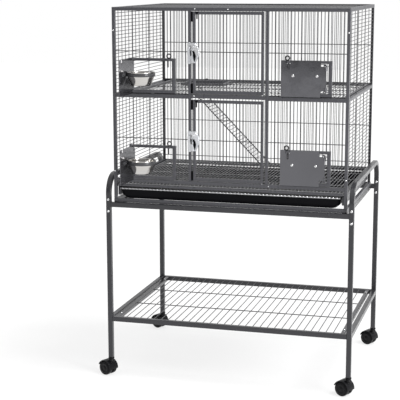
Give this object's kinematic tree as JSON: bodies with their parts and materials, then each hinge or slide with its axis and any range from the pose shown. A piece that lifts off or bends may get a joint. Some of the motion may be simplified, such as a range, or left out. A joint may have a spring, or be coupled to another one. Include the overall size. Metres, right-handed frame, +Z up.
{
  "type": "ferret cage",
  "caption": "Two-level wire ferret cage with swing-out feeder doors, slide-out tray and grate, on a rolling stand with a lower wire shelf.",
  "frame": {"origin": "on the floor under the middle of the whole footprint, including the open feeder doors and the casters", "axes": "+X to the cage's right seen from its front, +Y from the front to the back, +Z up"},
  "size_m": [0.9178, 0.7944, 1.297],
  "materials": {
    "frame_paint": "hammertone powder coat, dark grey",
    "wire_paint": "dark grey powder coat over welded wire",
    "plate_paint": "fine hammertone powder coat on sheet, slightly glossy",
    "zinc_latch": "bright zinc plate with light tumbling marks",
    "gunmetal": "dark grey satin coat",
    "stainless": "spun and polished",
    "tray_plastic": "black, fine leather-like grain",
    "bolt_zinc": "bright plated",
    "caster_plastic": "black moulded",
    "wheel_plastic": "black moulded, slightly worn tread"
  },
  "bodies": {
    "cage": {"front_frame": "frame_paint", "back_frame": "frame_paint", "left_frame": "frame_paint", "right_frame": "frame_paint", "base_frame": "frame_paint", "front_wires": "wire_paint", "back_wires": "wire_paint", "left_wires": "wire_paint", "right_wires": "wire_paint", "roof_wires": "wire_paint", "door_hinges": "frame_paint", "latch_keepers": "zinc_latch", "shelf_frame": "frame_paint", "shelf_wires": "wire_paint", "leg_fl": "frame_paint", "leg_fr": "frame_paint", "leg_rl": "frame_paint", "leg_rr": "frame_paint", "left_arch": "frame_paint", "right_arch": "frame_paint", "stand_rails": "frame_paint", "low_shelf_frame": "frame_paint", "low_shelf_wires": "wire_paint", "bolts": "bolt_zinc"},
    "upper_door": {"upper_door_frame": "frame_paint", "upper_door_wires": "wire_paint", "upper_latch_body": "zinc_latch"},
    "upper_lever": {"upper_latch_lever": "zinc_latch"},
    "lower_door": {"lower_door_frame": "frame_paint", "lower_door_wires": "wire_paint", "lower_latch_body": "zinc_latch"},
    "lower_lever": {"lower_latch_lever": "zinc_latch"},
    "ramp": {"ramp": "wire_paint"},
    "grate": {"grate_frame": "frame_paint", "grate_wires": "wire_paint"},
    "tray": {"tray": "tray_plastic"},
    "feeder_ul": {"feeder_door_ul": "plate_paint", "bowl_ring_ul": "gunmetal"},
    "bowl_ul": {"bowl_ul": "stainless"},
    "feeder_latch_ul": {"feeder_latch_ul": "gunmetal"},
    "feeder_ur": {"feeder_door_ur": "plate_paint", "bowl_ring_ur": "gunmetal"},
    "bowl_ur": {"bowl_ur": "stainless"},
    "feeder_latch_ur": {"feeder_latch_ur": "gunmetal"},
    "feeder_ll": {"feeder_door_ll": "plate_paint", "bowl_ring_ll": "gunmetal"},
    "bowl_ll": {"bowl_ll": "stainless"},
    "feeder_latch_ll": {"feeder_latch_ll": "gunmetal"},
    "feeder_lr": {"feeder_door_lr": "plate_paint", "bowl_ring_lr": "gunmetal"},
    "bowl_lr": {"bowl_lr": "stainless"},
    "feeder_latch_lr": {"feeder_latch_lr": "gunmetal"},
    "caster_fl": {"caster_hood_fl": "caster_plastic"},
    "wheels_fl": {"caster_wheels_fl": "wheel_plastic"},
    "caster_fr": {"caster_hood_fr": "caster_plastic"},
    "wheels_fr": {"caster_wheels_fr": "wheel_plastic"},
    "caster_rl": {"caster_hood_rl": "caster_plastic"},
    "wheels_rl": {"caster_wheels_rl": "wheel_plastic"},
    "caster_rr": {"caster_hood_rr": "caster_plastic"},
    "wheels_rr": {"caster_wheels_rr": "wheel_plastic"}
  },
  "joints": [
    {"name": "upper_door_hinge", "type": "hinge", "parent": "cage", "child": "upper_door", "pos_m": [0.13168, -0.2379, 1.147], "axis": [0, 0, 1], "range_deg": [0, 120]},
    {"name": "lower_door_hinge", "type": "hinge", "parent": "cage", "child": "lower_door", "pos_m": [0.13168, -0.2379, 0.852], "axis": [0, 0, 1], "range_deg": [0, 120]},
    {"name": "upper_latch_turn", "type": "hinge", "parent": "upper_door", "child": "upper_lever", "pos_m": [-0.09732, -0.2484, 1.17], "axis": [0, -1, 0], "range_deg": [0, 25]},
    {"name": "lower_latch_turn", "type": "hinge", "parent": "lower_door", "child": "lower_lever", "pos_m": [-0.09732, -0.2484, 0.873], "axis": [0, -1, 0], "range_deg": [0, 25]},
    {"name": "feeder_ul_hinge", "type": "hinge", "parent": "cage", "child": "feeder_ul", "pos_m": [-0.31532, -0.2472, 1.069], "axis": [0, 0, 1], "range_deg": [-20, 90]},
    {"name": "bowl_ul_lift", "type": "slide", "parent": "feeder_ul", "child": "bowl_ul", "axis": [0, 0, 1], "range_m": [0, 0.03]},
    {"name": "feeder_latch_ul_lift", "type": "slide", "parent": "cage", "child": "feeder_latch_ul", "axis": [0, 0, 1], "range_m": [0, 0.022]},
    {"name": "feeder_ur_hinge", "type": "hinge", "parent": "cage", "child": "feeder_ur", "pos_m": [0.34468, -0.2472, 1.069], "axis": [0, 0, 1], "range_deg": [0, 110]},
    {"name": "bowl_ur_lift", "type": "slide", "parent": "feeder_ur", "child": "bowl_ur", "axis": [0, 0, 1], "range_m": [0, 0.03]},
    {"name": "feeder_latch_ur_lift", "type": "slide", "parent": "cage", "child": "feeder_latch_ur", "axis": [0, 0, 1], "range_m": [0, 0.022]},
    {"name": "feeder_ll_hinge", "type": "hinge", "parent": "cage", "child": "feeder_ll", "pos_m": [-0.31532, -0.2472, 0.773], "axis": [0, 0, 1], "range_deg": [-20, 90]},
    {"name": "bowl_ll_lift", "type": "slide", "parent": "feeder_ll", "child": "bowl_ll", "axis": [0, 0, 1], "range_m": [0, 0.03]},
    {"name": "feeder_latch_ll_lift", "type": "slide", "parent": "cage", "child": "feeder_latch_ll", "axis": [0, 0, 1], "range_m": [0, 0.022]},
    {"name": "feeder_lr_hinge", "type": "hinge", "parent": "cage", "child": "feeder_lr", "pos_m": [0.34468, -0.2472, 0.773], "axis": [0, 0, 1], "range_deg": [0, 110]},
    {"name": "bowl_lr_lift", "type": "slide", "parent": "feeder_lr", "child": "bowl_lr", "axis": [0, 0, 1], "range_m": [0, 0.03]},
    {"name": "feeder_latch_lr_lift", "type": "slide", "parent": "cage", "child": "feeder_latch_lr", "axis": [0, 0, 1], "range_m": [0, 0.022]},
    {"name": "ramp_swing", "type": "hinge", "parent": "cage", "child": "ramp", "pos_m": [-0.25732, 0.2351, 1.007], "axis": [0, -1, 0], "range_deg": [0, 40]},
    {"name": "grate_slide", "type": "slide", "parent": "cage", "child": "grate", "axis": [0, -1, 0], "range_m": [0, 0.25]},
    {"name": "tray_slide", "type": "slide", "parent": "cage", "child": "tray", "axis": [0, -1, 0], "range_m": [0, 0.5]},
    {"name": "caster_fl_swivel", "type": "hinge", "parent": "cage", "child": "caster_fl", "pos_m": [-0.40932, -0.2491, 0.08], "axis": [0, 0, 1], "continuous": true},
    {"name": "wheels_fl_roll", "type": "hinge", "parent": "caster_fl", "child": "wheels_fl", "pos_m": [-0.42481, -0.2421, 0.0255], "axis": [-0.4115, -0.9114, 0], "continuous": true},
    {"name": "caster_fr_swivel", "type": "hinge", "parent": "cage", "child": "caster_fr", "pos_m": [0.43868, -0.2491, 0.08], "axis": [0, 0, 1], "continuous": true},
    {"name": "wheels_fr_roll", "type": "hinge", "parent": "caster_fr", "child": "wheels_fr", "pos_m": [0.42319, -0.2421, 0.0255], "axis": [-0.4115, -0.9114, 0], "continuous": true},
    {"name": "caster_rl_swivel", "type": "hinge", "parent": "cage", "child": "caster_rl", "pos_m": [-0.40932, 0.3592, 0.08], "axis": [0, 0, 1], "continuous": true},
    {"name": "wheels_rl_roll", "type": "hinge", "parent": "caster_rl", "child": "wheels_rl", "pos_m": [-0.42481, 0.3662, 0.0255], "axis": [-0.4115, -0.9114, 0], "continuous": true},
    {"name": "caster_rr_swivel", "type": "hinge", "parent": "cage", "child": "caster_rr", "pos_m": [0.43868, 0.3592, 0.08], "axis": [0, 0, 1], "continuous": true},
    {"name": "wheels_rr_roll", "type": "hinge", "parent": "caster_rr", "child": "wheels_rr", "pos_m": [0.42319, 0.3662, 0.0255], "axis": [-0.4115, -0.9114, 0], "continuous": true}
  ]
}
